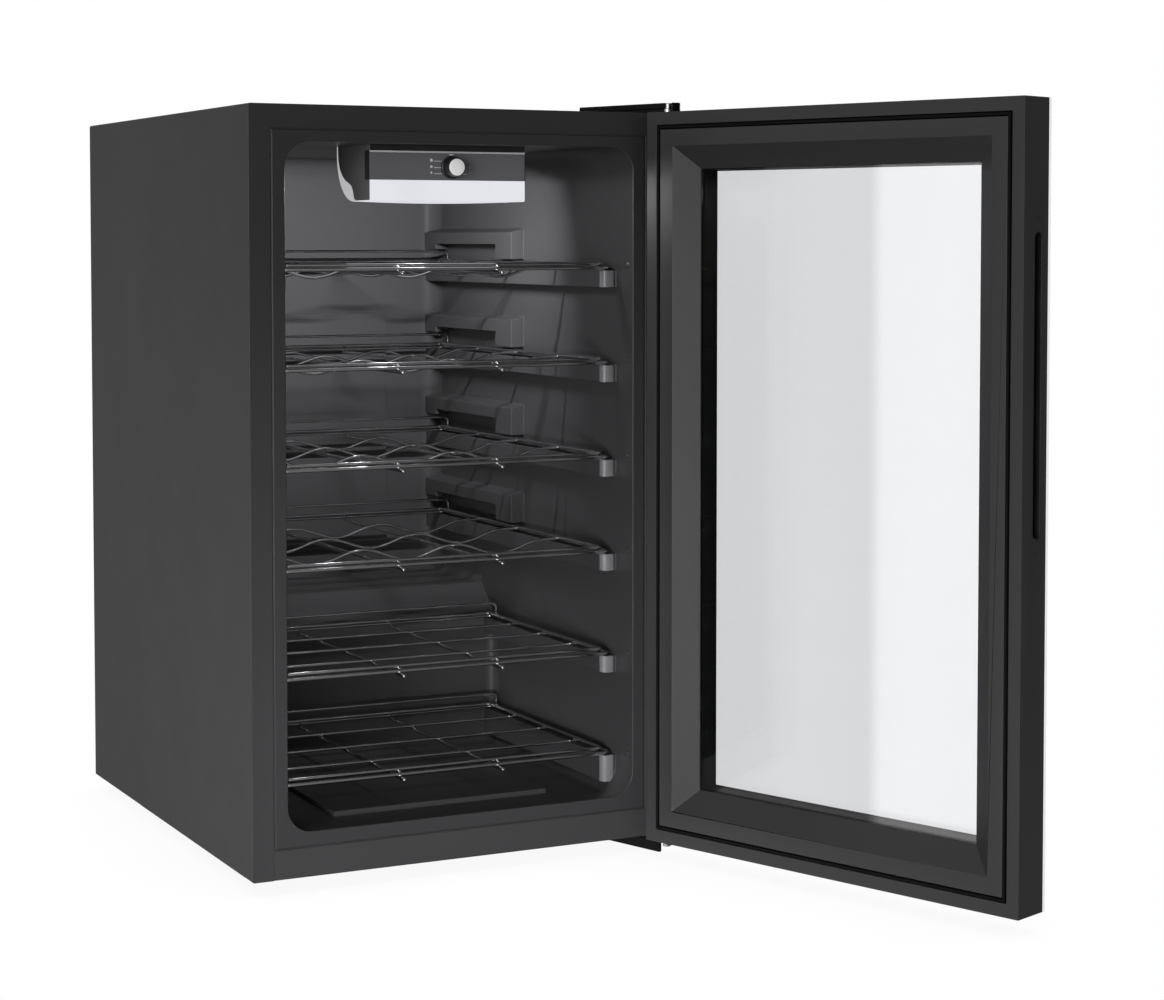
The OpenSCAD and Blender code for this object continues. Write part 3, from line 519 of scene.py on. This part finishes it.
def lathe(profile, centre, axis, sides=64):
    """Points and faces of a turned part. The profile holds (radius, distance along the axis)."""
    axis = Vector(axis).normalized()
    side = axis.orthogonal().normalized()
    up = axis.cross(side)
    points, faces = [], []
    for r, along in profile:
        for k in range(sides):
            angle = 2 * math.pi * k / sides
            points.append(Vector(centre) + axis * along
                          + r * (side * math.cos(angle) + up * math.sin(angle)))
    for i in range(len(profile) - 1):
        for k in range(sides):
            n = (k + 1) % sides
            faces.append([i * sides + k, i * sides + n, (i + 1) * sides + n, (i + 1) * sides + k])
    faces.append(list(range(sides))[::-1])
    faces.append([(len(profile) - 1) * sides + k for k in range(sides)])
    return points, faces


def door_band(profile):
    """Points and faces of a section swept round the closed door. It holds (inset, depth) pairs."""
    points, faces = [], []
    for sx, sz in ((-1, -1), (1, -1), (1, 1), (-1, 1)):
        for inset, depth in profile:
            x = sx * (HALF_W - inset)
            z = DOOR_Z0 + inset if sz < 0 else DOOR_Z1 - inset
            points.append((x, DOOR_IN_Y - depth, z))
    count = len(profile)
    for corner in range(4):
        a, b = corner * count, (corner + 1) % 4 * count
        for k in range(count):
            n = (k + 1) % count
            faces.append([a + k, a + n, b + n, b + k])
    return points, faces


# ---------------------------------------------------------------- cabinet

refine("cabinet_wrapper", 0.35 * MM)
refine("front_rail", 0.35 * MM)
refine("rear_panel", 0.3 * MM)
refine("inner_liner", 0.7 * MM, 3)
refine("evaporator_plate", 0.6 * MM)
refine("control_housing", 0.5 * MM)
refine("control_fascia", 0.35 * MM)
refine("top_hinge_bracket", 0.4 * MM)
refine("top_hinge_cover", 0.9 * MM, 3)
refine("bottom_hinge_bracket", 0.4 * MM)
refine("top_hinge_pin", 0.5 * MM, 3)
refine("bottom_hinge_pin", 0.5 * MM, 3)
refine("hinge_screws", 0.4 * MM)
refine("panel_screws", 0.4 * MM)
refine("rear_feet", 1.2 * MM, 3)
refine("left_levelling_foot", 1.0 * MM, 3)
refine("right_levelling_foot", 1.0 * MM, 3)
refine("compressor_tray", 0.4 * MM)
refine("compressor", 1.2 * MM, 3)
refine("terminal_box", 1.2 * MM, 3)
refine("power_inlet", 0.5 * MM)
refine("drip_tray", 0.6 * MM)
refine("filter_drier", 1.6 * MM, 3)


# ---------------------------------------------------------------- shelves

LOOP_IN = 6 * MM
FRAME_R = 1.9 * MM
THIN_R = 1.5 * MM
SUPPORT_X = 52 * MM
WAVE = 5.8 * MM
PITCH = 100 * MM


def cradle_path(half, y, z):
    """A wire that dips for three bottles side by side and lifts to the frame at its ends."""
    path = [Vector((-half, y, z + WAVE))]
    span = 1.5 * PITCH
    steps = 72
    for i in range(steps + 1):
        x = -span + 2 * span * i / steps
        path.append(Vector((x, y, z - WAVE * math.cos(2 * math.pi * x / PITCH))))
    path.append(Vector((half, y, z + WAVE)))
    return path


for shelf in range(1, 7):
    low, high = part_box(f"shelf_{shelf}")
    half = high.x - FRAME_R
    y0 = low.y + 10 * MM
    y1 = high.y - 3 * MM
    stop_z = high.z - THIN_R
    base = stop_z - 15 * MM
    upper = base + 2 * FRAME_R
    shape = Shape()
    shape.add(*tube(loop_path(half, y0, y1, base, 9 * MM), FRAME_R, closed=True))
    shape.add(*tube(loop_path(half - LOOP_IN, y0 + LOOP_IN, y1 - LOOP_IN, upper, 6 * MM),
                    FRAME_R, closed=True))
    for side in (-1, 1):
        x = side * SUPPORT_X
        low_z = base - 2 * FRAME_R
        shape.add(*tube([(x, y0 - 9 * MM, low_z), (x, y1 + 2 * MM, low_z)], FRAME_R))
        for y, inward in ((y0, 1), (y1, -1)):
            shape.add(*tube([(x, y, base), (x, y + inward * LOOP_IN, upper)], THIN_R))
    back = y1 - 9 * MM
    shape.add(*tube(arc_path([(-half, back, base), (-half, back, stop_z), (half, back, stop_z),
                              (half, back, base)], 6 * MM), THIN_R))
    if shelf <= 4:
        for k in range(3):
            y = FRONT_Y + 140 * MM + k * 100 * MM
            shape.add(*tube(cradle_path(half - LOOP_IN, y, base - 2 * MM - THIN_R), THIN_R))
    else:
        for k in range(1, 4):
            y = y0 - FRAME_R + k * 73 * MM
            z = base - THIN_R + MM
            shape.add(*tube([(-half, y, z), (half, y, z)], THIN_R))
    wires = shape.piece(f"shelf_{shelf}_wires", f"shelf_{shelf}", chrome, "chrome_wire", smooth=60)
    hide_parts(f"shelf_{shelf}")


# smooth end caps of the support rails; their lighter grey than the liner is a painted highlight
caps = Shape()
CAP_Y = FRONT_Y + 36 * MM
for shelf in range(1, 7):
    low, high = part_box(f"shelf_{shelf}")
    line_z = high.z - THIN_R - 15 * MM
    z1 = line_z - FRAME_R - 0.6 * MM
    z0 = z1 - (17 if shelf < 6 else 27) * MM + 0.5 * MM
    for side in (-1, 1):
        outline = [(ROOM_X - 14.3 * MM, 8 * MM), (ROOM_X - 14.3 * MM, 3.2 * MM),
                   (ROOM_X - 13.5 * MM, 1.2 * MM), (ROOM_X - 11.8 * MM, -0.1 * MM),
                   (ROOM_X - 9.5 * MM, -0.5 * MM), (ROOM_X - 5 * MM, -0.5 * MM),
                   (ROOM_X - 3 * MM, -0.1 * MM), (ROOM_X - 1.4 * MM, 1.0 * MM),
                   (ROOM_X - 0.4 * MM, 2.6 * MM), (ROOM_X + 0.3 * MM, 4.5 * MM),
                   (ROOM_X + 0.3 * MM, 8 * MM)]
        count = len(outline)
        points = [(side * x, CAP_Y + y, z) for z in (z0, z1) for x, y in outline]
        faces = [[k, (k + 1) % count, count + (k + 1) % count, count + k] for k in range(count)]
        faces += [list(range(count))[::-1], [count + k for k in range(count)]]
        caps.add(points, faces)
caps.piece("rail_end_caps", "cabinet", cap_highlight_grey, "liner", smooth=50)


# ---------------------------------------------------------------- controls and light

FASCIA_Y = fascia_low.y
knob_side = Shape()
knob_radius = (knob_high.z - knob_low.z) / 2
rings = [(0.3, knob_radius / MM - 0.4), (0.7, knob_radius / MM), (3.2, knob_radius / MM),
         (4.0, knob_radius / MM - 0.8), (4.0, 9.2), (5.0, 9.0), (13.2, 8.9), (13.8, 8.6),
         (13.8, 8.1), (13.1, 8.0)]
sides = 96
points, faces = [], []
for along, radius in rings:
    for k in range(sides):
        angle = 2 * math.pi * k / sides
        ridged = 5.0 <= along <= 13.2 and k % 4 < 2
        r = (radius - (0.35 if ridged else 0.0)) * MM
        points.append((KNOB.x + r * math.sin(angle), KNOB.y - along * MM,
                       KNOB.z + r * math.cos(angle)))
for i in range(len(rings) - 1):
    for k in range(sides):
        n = (k + 1) % sides
        faces.append([i * sides + k, i * sides + n, (i + 1) * sides + n, (i + 1) * sides + k])
faces.append(list(range(sides)))
faces.append([(len(rings) - 1) * sides + k for k in range(sides)][::-1])
knob_side.add(points, faces)
knob_body = knob_side.piece("knob_body", "temperature_knob", plastic_black, "knob", smooth=40)
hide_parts("temperature_knob")
face = Shape().add(*lathe([(8.1 * MM, 0), (8.1 * MM, 0.9 * MM), (7.6 * MM, 1.15 * MM),
                           (3.0 * MM, 1.0 * MM), (0.2 * MM, 0.95 * MM)],
                          KNOB + Vector((0, -12.8 * MM, 0)), (0, -1, 0)))
face.piece("knob_face", "temperature_knob", metal_face, "knob")

marks = Shape()
faint = Shape()
MARK_RAISE = 0.12 * MM


def mark(shape, x, z, width, height):
    shape.add(*slab((KNOB.x + x - width / 2, FASCIA_Y - MARK_RAISE, KNOB.z + z - height / 2),
                    (KNOB.x + x + width / 2, FASCIA_Y + 0.2 * MM, KNOB.z + z + height / 2)))


def dot(shape, x, z, radius):
    shape.add(*lathe([(radius, 0), (radius, 0.2 * MM + MARK_RAISE)],
                     (KNOB.x + x, FASCIA_Y + 0.2 * MM, KNOB.z + z), (0, -1, 0), 20))


for row, z in enumerate((6.8 * MM, 0.6 * MM, -5.2 * MM)):
    dot(marks, -20.8 * MM, z, (1.5 - 0.25 * row) * MM)
    mark(marks, -14.0 * MM, z - 0.8 * MM, 8.2 * MM, 0.55 * MM)
    mark(faint, 19.2 * MM, z, (0.5 + 0.5 * row) * MM, 2.0 * MM)
mark(marks, 14.2 * MM, -6.4 * MM, 4.0 * MM, 0.5 * MM)
mark(marks, 0, 12.2 * MM, 4.6 * MM, 1.3 * MM)
marks.piece("scale_marks", "cabinet", print_light, "fascia_grey")
faint.piece("scale_marks_faint", "cabinet", print_faint, "fascia_grey")

line = Shape().add(*slab((fascia_low.x, FASCIA_Y - 0.6 * MM, fascia_high.z - 1.6 * MM),
                         (fascia_high.x, FASCIA_Y + 0.6 * MM, fascia_high.z + 0.1 * MM)))
bevel(line.piece("fascia_line", "cabinet", silver, "fascia_grey"), 0.2 * MM)

# light cover: its front glows, its wide rear bend runs up to the ceiling behind the end caps
box_low, box_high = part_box("control_housing")
BOX_BEND = 44 * MM
COVER_Z0 = diffuser_low.z
BOX_BACK = box_high.y


def cover_section(inset, top):
    """Side outline of the control box from its front edge round to a height on its back."""
    back = BOX_BACK - inset
    bend = BOX_BEND - inset
    outline = [(FASCIA_Y, COVER_Z0 + 1.6 * MM + inset),
               (FASCIA_Y + 0.5 * MM, COVER_Z0 + 0.5 * MM + inset),
               (FASCIA_Y + 1.6 * MM, COVER_Z0 + inset)]
    for i in range(17):
        angle = math.pi / 2 * i / 16
        y = back - bend + bend * math.sin(angle)
        z = COVER_Z0 + inset + bend * (1 - math.cos(angle))
        if z <= top:
            outline.append((y, z))
    outline.append((back, max(top, COVER_Z0 + BOX_BEND)))
    return outline


def across(shape, outline, x0, x1, sag=0.0):
    """A closed side outline pushed along X, its underside hanging a little in the middle."""
    steps = 24 if sag else 1
    count = len(outline)
    points, faces = [], []
    for i in range(steps + 1):
        x = x0 + (x1 - x0) * i / steps
        drop = sag * (1 - (2 * i / steps - 1) ** 2)
        for y, z in outline:
            low_share = max(0.0, 1 - (z - COVER_Z0) / (8 * MM)) if y > FASCIA_Y + 2 * MM else 0.0
            points.append((x, y, z - drop * low_share))
    for i in range(steps):
        for k in range(count):
            n = (k + 1) % count
            a, b = i * count, (i + 1) * count
            faces.append([a + k, a + n, b + n, b + k])
    faces.append(list(range(count))[::-1])
    faces.append([steps * count + k for k in range(count)])
    shape.add(points, faces)


front_glow = Shape()
glow_top = fascia_low.z
bend_top = [p for p in cover_section(0, glow_top) if p[1] <= glow_top]
across(front_glow, [(FASCIA_Y, glow_top)] + bend_top + [(bend_top[-1][0], glow_top)],
       box_low.x, box_high.x, 1.8 * MM)
light_cover = front_glow.piece("light_cover", "cabinet", diffuser_glow, "diffuser", smooth=40)
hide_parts("light_diffuser")

# the translucent shell shows as a fin round each end cap, wide below and thin above
fin = Shape()
outer = [p for p in cover_section(-0.3 * MM, box_high.z)][3:]
FIN_EDGE = ((3, 44), (8, 42), (12.5, 39.5), (15.5, 36), (18, 29), (20.5, 21), (25, 13.5), (32, 6.5),
            (40, 3.2), (48, 2.2))
inner = [(BOX_BACK - back * MM, COVER_Z0 + up * MM) for up, back in FIN_EDGE]
inner = [(BOX_BACK - 48 * MM, COVER_Z0 + 0.6 * MM)] + inner
inner.append((BOX_BACK - 2 * MM, box_high.z))
across(fin, outer + inner[::-1], box_low.x - 0.5 * MM, box_high.x + 0.5 * MM)
fin_piece = fin.piece("cover_fin", "cabinet", fin_glow, "diffuser", smooth=40)

ends = Shape()
returns = Shape()
cap = [(FASCIA_Y + 0.4 * MM, box_high.z), (FASCIA_Y + 0.4 * MM, COVER_Z0 + 0.8 * MM)] + inner
strip = [(FASCIA_Y + 0.2 * MM, fascia_high.z), (FASCIA_Y + 0.2 * MM, glow_top),
         (FASCIA_Y + 11 * MM, glow_top), (FASCIA_Y + 11 * MM, fascia_high.z)]
for x in (box_low.x, box_high.x):
    across(ends, cap, x - 0.4 * MM, x + 0.4 * MM)
    across(returns, strip, x - 0.8 * MM, x + 0.8 * MM)
end_piece = ends.piece("control_box_ends", "cabinet", end_grey, "fascia_grey", smooth=40)
returns.piece("fascia_returns", "cabinet", plastic_black, "black_plastic", smooth=40)
# light passes through these thin pieces
for piece in (light_cover, fin_piece, end_piece):
    piece.visible_shadow = False


# coves where the walls of the wine space meet its back, ceiling and hump


def cove(shape, start, end, into_a, into_b, radius, steps=10):
    """A hollow quarter round along a corner from start to end, tangent to both walls."""
    a, b = Vector(into_a), Vector(into_b)
    section = [radius * (a + b) - radius * (math.cos(t) * a + math.sin(t) * b)
               for t in (math.pi / 2 * i / steps for i in range(steps + 1))]
    section.append(-0.3 * MM * (a + b))
    count = len(section)
    points = [Vector(end_point) + p for end_point in (start, end) for p in section]
    faces = [[k, (k + 1) % count, count + (k + 1) % count, count + k] for k in range(count)]
    faces += [list(range(count))[::-1], [count + k for k in range(count)]]
    shape.add(points, faces)


coves = Shape()
for side in (-1, 1):
    cove(coves, (side * ROOM_X, ROOM_BACK, HUMP_Z), (side * ROOM_X, ROOM_BACK, ROOM_Z1),
         (-side, 0, 0), (0, -1, 0), 20 * MM)
    cove(coves, (side * ROOM_X, HUMP_Y, ROOM_Z0), (side * ROOM_X, HUMP_Y, HUMP_Z - HUMP_SLOPE),
         (-side, 0, 0), (0, -1, 0), 12 * MM)
    cove(coves, (side * ROOM_X, HUMP_Y + HUMP_SLOPE, HUMP_Z), (side * ROOM_X, ROOM_BACK, HUMP_Z),
         (-side, 0, 0), (0, 0, 1), 10 * MM)
cove(coves, (-ROOM_X, ROOM_BACK, ROOM_Z1), (ROOM_X, ROOM_BACK, ROOM_Z1),
     (0, -1, 0), (0, 0, -1), 12 * MM)
cove(coves, (-ROOM_X, ROOM_BACK, HUMP_Z), (ROOM_X, ROOM_BACK, HUMP_Z),
     (0, -1, 0), (0, 0, 1), 12 * MM)
cove(coves, (-ROOM_X, HUMP_Y, ROOM_Z0), (ROOM_X, HUMP_Y, ROOM_Z0), (0, -1, 0), (0, 0, 1), 10 * MM)
for side in (-1, 1):
    cove(coves, (side * ROOM_X, FRONT_Y + 24 * MM, ROOM_Z1), (side * ROOM_X, ROOM_BACK, ROOM_Z1),
         (-side, 0, 0), (0, 0, -1), 15 * MM)
coves.piece("liner_coves", "cabinet", liner_black, "liner", smooth=60)


# ---------------------------------------------------------------- door

refine("door_frame", 0.5 * MM, 3)
refine("door_inner_frame", 0.5 * MM, 3)
refine("grip_recess", 0.4 * MM)
refine("grip_plugs", 0.4 * MM)
refine("outer_glass", 0.5 * MM, 3)
refine("inner_glass", 0.2 * MM)
refine("glass_spacer", 0.3 * MM)

glass_depth = DOOR_T - 4 * MM
border = Shape().add(*door_band([
    (0.8 * MM, glass_depth + 0.25 * MM), (57 * MM, glass_depth + 0.25 * MM),
    (57 * MM, glass_depth + 0.4 * MM), (0.8 * MM, glass_depth + 0.4 * MM)]))
border.piece("glass_border", "door", glass_print, "outer_glass", turn=DOOR_TURN, smooth=20)

# gasket: a soft bulb that stands proud of its groove, with a lip at each side
G0 = 12.6
seal = Shape().add(*door_band([(i * MM, d * MM) for i, d in (
    (G0 + 0.15, 9.8), (G0 + 0.1, 3.4), (G0 + 0.5, 2.4), (G0 + 0.9, 1.2), (G0 + 0.8, -0.6),
    (G0 + 1.3, -1.5), (G0 + 2.2, -1.8), (G0 + 3.1, -1.5), (G0 + 3.6, -0.6), (G0 + 3.5, 1.2),
    (G0 + 3.9, 2.4), (G0 + 4.3, 3.4), (G0 + 4.25, 9.8))]))
gasket = seal.piece("gasket_bellows", "door", rubber_black, "rubber", turn=DOOR_TURN, smooth=50)
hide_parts("door_gasket")


# ---------------------------------------------------------------- stage, light and camera


def soft_light(name, place_at, aim, size, power, colour=WHITE):
    data = bpy.data.lights.new(name, "AREA")
    data.shape = "RECTANGLE"
    data.size, data.size_y = size
    data.energy = power
    data.color = colour
    obj = bpy.data.objects.new(name, data)
    bpy.context.scene.collection.objects.link(obj)
    obj.location = place_at
    obj.rotation_euler = (Vector(aim) - Vector(place_at)).to_track_quat("-Z", "Y").to_euler()
    return obj


def make_floor():
    """A wide pale floor whose glow darkens a little where the cooler stands close to it: a painted
    contact shadow.
    """
    material, tree, shader = new_material("floor_white")
    tree.nodes.remove(shader)
    # painted contact shadow: ambient occlusion dims the floor's glow near the cooler
    painted_contact_shadow = add(tree, "ShaderNodeAmbientOcclusion", samples=8)
    painted_contact_shadow.inputs["Distance"].default_value = 0.22
    fine = noise_of(tree, place(tree), 0.4, 2.0)
    shade = remap(tree, painted_contact_shadow.outputs["AO"], 0.93, 1.0, 0.1, 0.75)
    paper = remap(tree, fine, 0.995, 1.005)
    seen = add(tree, "ShaderNodeMath", operation="MULTIPLY")
    tree.links.new(shade, seen.inputs[0])
    tree.links.new(paper, seen.inputs[1])
    ray = add(tree, "ShaderNodeLightPath")
    power = remap(tree, ray.outputs["Is Camera Ray"], 0.42, 1.0, 0.0, 1.0)
    tree.links.new(seen.outputs["Value"], power.node.inputs["To Max"])
    glow = add(tree, "ShaderNodeEmission")
    tree.links.new(power, glow.inputs["Strength"])
    tree.links.new(glow.outputs["Emission"], tree.nodes["Material Output"].inputs["Surface"])
    mesh = bpy.data.meshes.new("floor")
    size = 30
    mesh.from_pydata([(-size, -size, 0), (size, -size, 0), (size, size, 0), (-size, size, 0)],
                     [], [[0, 1, 2, 3]])
    mesh.materials.append(material)
    floor = bpy.data.objects.new("floor", mesh)
    bpy.context.scene.collection.objects.link(floor)
    floor.visible_glossy = False


def make_world():
    """A white surround with a tall bright screen to the left and some light from behind."""
    world = bpy.data.worlds.new("studio")
    world.use_nodes = True
    tree = world.node_tree
    backdrop = tree.nodes["Background"]
    coords = add(tree, "ShaderNodeTexCoord")
    facing = add(tree, "ShaderNodeVectorMath", operation="DOT_PRODUCT")
    facing.inputs[1].default_value = Vector((-0.95, -0.3, 0.0))
    tree.links.new(coords.outputs["Generated"], facing.inputs[0])
    ambient = remap(tree, facing.outputs["Value"], 0.07, 0.52, -0.25, 0.9)
    behind = add(tree, "ShaderNodeVectorMath", operation="DOT_PRODUCT")
    behind.inputs[1].default_value = Vector((0.69, 0.72, 0.0))
    tree.links.new(coords.outputs["Generated"], behind.inputs[0])
    around = add(tree, "ShaderNodeMath", operation="ADD")
    tree.links.new(ambient, around.inputs[0])
    tree.links.new(remap(tree, behind.outputs["Value"], 0.0, 0.7, 0.5, 0.95), around.inputs[1])
    split = add(tree, "ShaderNodeSeparateXYZ")
    tree.links.new(coords.outputs["Generated"], split.inputs["Vector"])
    back = add(tree, "ShaderNodeMath", operation="MULTIPLY")
    back.inputs[1].default_value = -1
    tree.links.new(split.outputs["X"], back.inputs[0])
    turn = add(tree, "ShaderNodeMath", operation="ARCTAN2")
    tree.links.new(split.outputs["Y"], turn.inputs[0])
    tree.links.new(back.outputs["Value"], turn.inputs[1])
    far_edge = remap(tree, turn.outputs["Value"], 1.0, 0.0, math.radians(15.7), math.radians(16.0))
    near_edge = remap(tree, turn.outputs["Value"], 0.0, 1.0, math.radians(10.5), math.radians(11))
    height = remap(tree, split.outputs["Z"], 1.0, 0.0, 0.2, 0.5)
    screen = add(tree, "ShaderNodeMath", operation="MULTIPLY")
    tree.links.new(far_edge, screen.inputs[0])
    tree.links.new(near_edge, screen.inputs[1])
    tall = add(tree, "ShaderNodeMath", operation="MULTIPLY")
    tree.links.new(screen.outputs["Value"], tall.inputs[0])
    tree.links.new(height, tall.inputs[1])
    light = add(tree, "ShaderNodeMath", operation="MULTIPLY_ADD")
    tree.links.new(tall.outputs["Value"], light.inputs[0])
    light.inputs[1].default_value = 1.5
    tree.links.new(around.outputs["Value"], light.inputs[2])
    ray = add(tree, "ShaderNodeLightPath")
    power = remap(tree, ray.outputs["Is Camera Ray"], 0.0, 1.0, 0.0, 1.0)
    tree.links.new(light.outputs["Value"], power.node.inputs["To Min"])
    tree.links.new(power, backdrop.inputs["Strength"])
    backdrop.inputs["Color"].default_value = (1, 1, 1, 1)
    bpy.context.scene.world = world


make_floor()
make_world()
bpy.context.scene.view_settings.view_transform = "Standard"

soft_light("key", (-3.3, -2.8, 0.6), (0, -0.2, 0.3), (2.0, 1.8), 100)
fill = soft_light("low_fill", (-1.1, -1.6, 0.1), (-0.05, -0.3, 0.08), (0.9, 0.2), 3.0)
fill.data.spread = math.radians(40)
fill.visible_glossy = False
# the lamp sits just under the housing, which keeps its light off the ceiling
LAMP_Z = fascia_low.z - 1.2 * MM
lamp = soft_light("lamp_back", (0, BOX_BACK - 20 * MM, LAMP_Z), (0, ROOM_BACK, LAMP_Z - 150 * MM),
                  (0.14, 0.002), 4.4)
lamp.data.spread = math.radians(150)
lamp.visible_glossy = False
bulb = bpy.data.lights.new("lamp_bulb", "POINT")
bulb.energy = 0.8
bulb.shadow_soft_size = 9 * MM
bulb_at = bpy.data.objects.new("lamp_bulb", bulb)
bulb_at.location = (0, FASCIA_Y + 34 * MM, LAMP_Z - 2 * MM)
bpy.context.scene.collection.objects.link(bulb_at)

camera = bpy.data.cameras.new("camera")
camera.sensor_width = 36
camera.lens = 77.1
PITCH_DOWN = math.radians(2.7)
camera.shift_y = -(0.2248 - math.tan(PITCH_DOWN) * camera.lens / camera.sensor_width)
camera.clip_start, camera.clip_end = 0.05, 100
eye = bpy.data.objects.new("camera", camera)
eye.location = (-0.9636, -2.4239, 0.6081)
eye.rotation_euler = (math.pi / 2 - PITCH_DOWN, 0, math.radians(-26.71))
bpy.context.scene.collection.objects.link(eye)
bpy.context.scene.camera = eye
